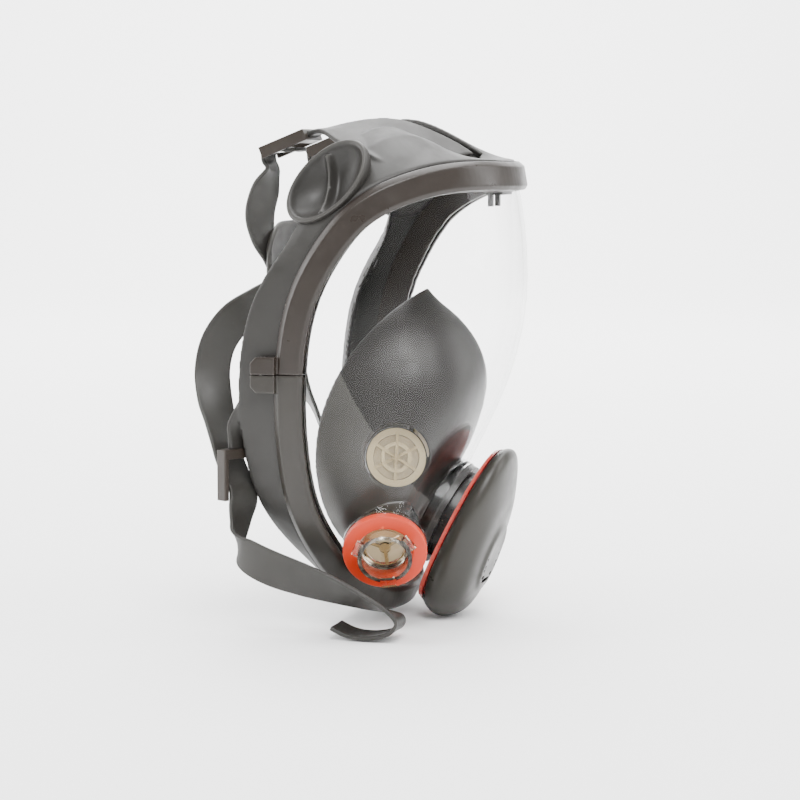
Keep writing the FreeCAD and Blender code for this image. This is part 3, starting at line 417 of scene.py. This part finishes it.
UPPER_BUCKLE = Place((-78, -36, 250.5), (-0.37, 0, 0.93), (0, -1, 0))
LOWER_BUCKLE = Place((-93, -77, 84), (0.89, -0.45, 0), (0.45, 0.89, 0))
UPPER_IN_BUCKLE = [(-3.5, -4.2), (1.5, -2.8), (5.2, 0.1), (8.0, 2.3), (11.4, 2.3), (14.1, 0.4), (15.4, -3.6),
                   (15.3, -8.5)]
UPPER_RUN = [
    ((-92.5, -37.5, 227), (-0.5, -0.85, 0)), ((-95.5, -38, 215), (-0.55, -0.8, -0.05)),
    ((-95, -35.5, 204), (-0.35, -0.9, -0.2)), ((-93, -29.5, 195), (-0.1, -0.92, -0.35)),
    ((-92.2, -23, 187), (0, -0.9, -0.45)),
]
LOWER_RUN = [
    ((-91.8, -20, 178), (0, 0.4, -0.92)), ((-91.6, -33, 172), (-0.05, 0.4, -0.9)),
    ((-96, -45, 167), (0.15, 0.4, -0.9)), ((-104.5, -53.5, 159.5), (0.55, 0.3, -0.78)),
    ((-111.5, -58, 148), (0.84, 0.32, -0.44)), ((-114, -60.5, 134), (0.94, 0.33, -0.08)),
    ((-111.5, -64, 120), (0.82, 0.55, 0)), ((-107.3, -67.5, 109), (0.62, 0.78, 0)),
]
LOWER_IN_BUCKLE = [(-15, -11.5), (-6.5, -8), (-0.5, -4.6), (4.2, -1.0), (8.0, 2.35), (12.0, 2.9), (17.5, 2.3)]
LOWER_TAIL = [
    ((-92.3, -78.5, 58), (0.2, 0.97, -0.1)), ((-92.5, -81.5, 50.5), (0.0, 0.8, -0.6)),
    ((-89, -85.3, 44.5), (-0.2, 0.35, -0.92)), ((-81, -87.3, 40), (-0.3, 0.1, -0.95)),
    ((-70, -87.8, 35.8), (-0.3, 0.05, -0.95)), ((-57, -86, 31.5), (-0.25, 0.25, -0.93)),
    ((-42, -82.3, 26.2), (-0.15, 0.55, -0.8)), ((-27, -78.0, 20.2), (-0.1, 0.8, -0.55)),
    ((-15.5, -75, 15.4), (-0.05, 0.95, -0.3)), ((-9.2, -73.3, 10.8), (0, 0.98, -0.1)),
    ((-10.3, -73, 6.2), (0, 1, 0)), ((-17, -73, 3.1), (0, 1, 0)), ((-26, -73, 1.9), (0, 1, 0)),
    ((-35, -73, 2.9), (0, 1, 0)), ((-43, -73, 6.3), (0, 1, 0)),
]


def stations_of(run, side):
    """Stations in metres, mirrored to the wearer's left where side is -1."""
    return [(Vector((c[0], c[1] * side, c[2])) * MM, Vector((w[0], w[1] * side, w[2])).normalized())
            for c, w in run]


def in_buckle(path, place):
    """Stations of a strap that threads a buckle, from its (along, out) path."""
    return [(tuple(place.at(x, 0, z)), tuple(place.y)) for x, z in path]


def crown_pad():
    """The crown pad: a thin curved plate with rounded corners and a raised border."""
    mesh = bmesh.new()
    across, up = 48, 34
    half_thick = 1.45
    layers = []
    for face in (1, -1):
        grid = []
        for i in range(across + 1):
            column = []
            y = -40 + 80 * i / across
            fade = (abs(y) / 40) ** 4
            top, low = 210 - 16 * fade, 158 + 10 * fade
            for k in range(up + 1):
                share = k / up
                rim = min(i, across - i, k, up - k)
                lift = half_thick * (0.25 if rim == 0 else 1.0 if rim <= 2 else 0.80)
                x = -92.6 + 2.2 * (y / 40) ** 2 - face * lift
                column.append(mesh.verts.new(Vector((x, y, low + (top - low) * share)) * MM))
            grid.append(column)
        layers.append(grid)
    for grid in layers:
        for i in range(across):
            for k in range(up):
                mesh.faces.new((grid[i][k], grid[i + 1][k], grid[i + 1][k + 1], grid[i][k + 1]))
    front, back = layers
    border = ([(i, 0) for i in range(across)] + [(across, k) for k in range(up)]
              + [(i, up) for i in range(across, 0, -1)] + [(0, k) for k in range(up, 0, -1)])
    for (i, k), (a, b) in zip(border, border[1:] + border[:1]):
        mesh.faces.new((front[i][k], front[a][b], back[a][b], back[i][k]))
    bmesh.ops.recalc_face_normals(mesh, faces=mesh.faces)
    data = bpy.data.meshes.new("crown_pad")
    mesh.to_mesh(data)
    mesh.free()
    data.polygons.foreach_set("use_smooth", [True] * len(data.polygons))
    piece = bpy.data.objects.new("crown_pad", data)
    bpy.context.scene.collection.objects.link(piece)
    return piece


harness = [crown_pad()]
for side, label in ((1, "right"), (-1, "left")):
    upper = stations_of(in_buckle(UPPER_IN_BUCKLE, UPPER_BUCKLE) + UPPER_RUN, side)
    lower = stations_of(LOWER_RUN + in_buckle(LOWER_IN_BUCKLE, LOWER_BUCKLE) + LOWER_TAIL, side)
    harness.append(strap_mesh(f"{label}_upper_strap", upper, STRAP_HALF, STRAP_THICK))
    harness.append(strap_mesh(f"{label}_lower_strap", lower, STRAP_HALF, STRAP_THICK))
for piece in harness:
    piece.data.materials.append(HARNESS)
    keep(piece, "mask", "harness", "head_harness")


# ---- carried-over CAD nodes -----------------------------------------------------------------

paint("lens", LENS)
paint("frame_screws", STEEL)
paint("frame_nuts", STEEL)
paint("exhalation_adapter", DARK)
paint("adapter_washer", BLACK)
paint("exhalation_valve_seat", CREAM)
paint("exhalation_flap", SILICONE)
paint("cover_ring", RING)
paint("spectacle_clip", BLACK)
for side in ("right", "left"):
    paint(f"{side}_bayonet_hub", TAN)
    paint(f"{side}_inhalation_flap", SILICONE)
    paint(f"{side}_cup_valve", CREAM)
    paint(f"{side}_cup_flap", SILICONE)
    for level in ("upper", "lower"):
        paint(f"{side}_{level}_buckle_bar", STEEL)


# ---- studio ---------------------------------------------------------------------------------

def backdrop():
    """A pale floor that curves up behind the object."""
    mesh = bmesh.new()
    profile = [(-3.5, 0.0), (2.6, 0.0)]
    profile += [(2.6 + 0.8 * math.sin(math.radians(a)), 0.8 - 0.8 * math.cos(math.radians(a)))
                for a in range(10, 91, 10)]
    profile += [(3.4, 3.2)]
    rows = [[mesh.verts.new(Vector((x, y, z))) for x in (-5.0, 5.0)] for y, z in profile]
    for first, second in zip(rows, rows[1:]):
        mesh.faces.new((first[0], first[1], second[1], second[0]))
    data = bpy.data.meshes.new("studio_floor")
    mesh.to_mesh(data)
    mesh.free()
    data.polygons.foreach_set("use_smooth", [True] * len(data.polygons))
    floor = bpy.data.objects.new("studio_floor", data)
    floor.rotation_euler.z = math.radians(17)
    bpy.context.scene.collection.objects.link(floor)
    material, _, _, _ = new_material("studio_white", (0.96, 0.96, 0.96), 0.7)
    data.materials.append(material)


def soft_light(name, place, aim, size, power):
    """A rectangular area light aimed at a point."""
    light = bpy.data.lights.new(name, "AREA")
    light.shape = "RECTANGLE"
    light.size, light.size_y = size
    light.energy = power
    lamp = bpy.data.objects.new(name, light)
    lamp.location = place
    lamp.rotation_mode = "QUATERNION"
    lamp.rotation_quaternion = (Vector(aim) - Vector(place)).to_track_quat("-Z", "Y")
    bpy.context.scene.collection.objects.link(lamp)


backdrop()
soft_light("key_light", (0.5, -1.1, 1.5), (-0.03, 0, 0.1), (1.0, 1.0), 46)
soft_light("left_light", (-1.6, -0.5, 0.7), (-0.03, 0, 0.12), (0.8, 1.4), 30)
soft_light("right_light", (1.5, 0.5, 0.9), (0, 0, 0.12), (0.8, 1.4), 20)
soft_light("top_light", (-0.1, 0.5, 1.8), (0, 0, 0), (1.4, 1.4), 62)
soft_light("wall_light", (-0.6, 1.5, 2.2), (-0.9, 3.2, 0.6), (2.4, 0.8), 230)

world = bpy.data.worlds.new("studio_air")
world.use_nodes = True
world.node_tree.nodes["Background"].inputs["Color"].default_value = (1.0, 1.0, 1.0, 1.0)
world.node_tree.nodes["Background"].inputs["Strength"].default_value = 0.85
bpy.context.scene.world = world

CAMERA_PLACE = Vector((331.8, -1185.9, 245.06)) * MM
CAMERA_AIM = Vector((-31.65, 2.89, 114.39)) * MM
camera_data = bpy.data.cameras.new("camera")
camera_data.lens = 105.14
camera_data.sensor_width = 36.0
camera_data.clip_end = 30.0
camera = bpy.data.objects.new("camera", camera_data)
camera.location = CAMERA_PLACE
camera.rotation_mode = "QUATERNION"
camera.rotation_quaternion = (CAMERA_AIM - CAMERA_PLACE).to_track_quat("-Z", "Y")
bpy.context.scene.collection.objects.link(camera)
bpy.context.scene.camera = camera
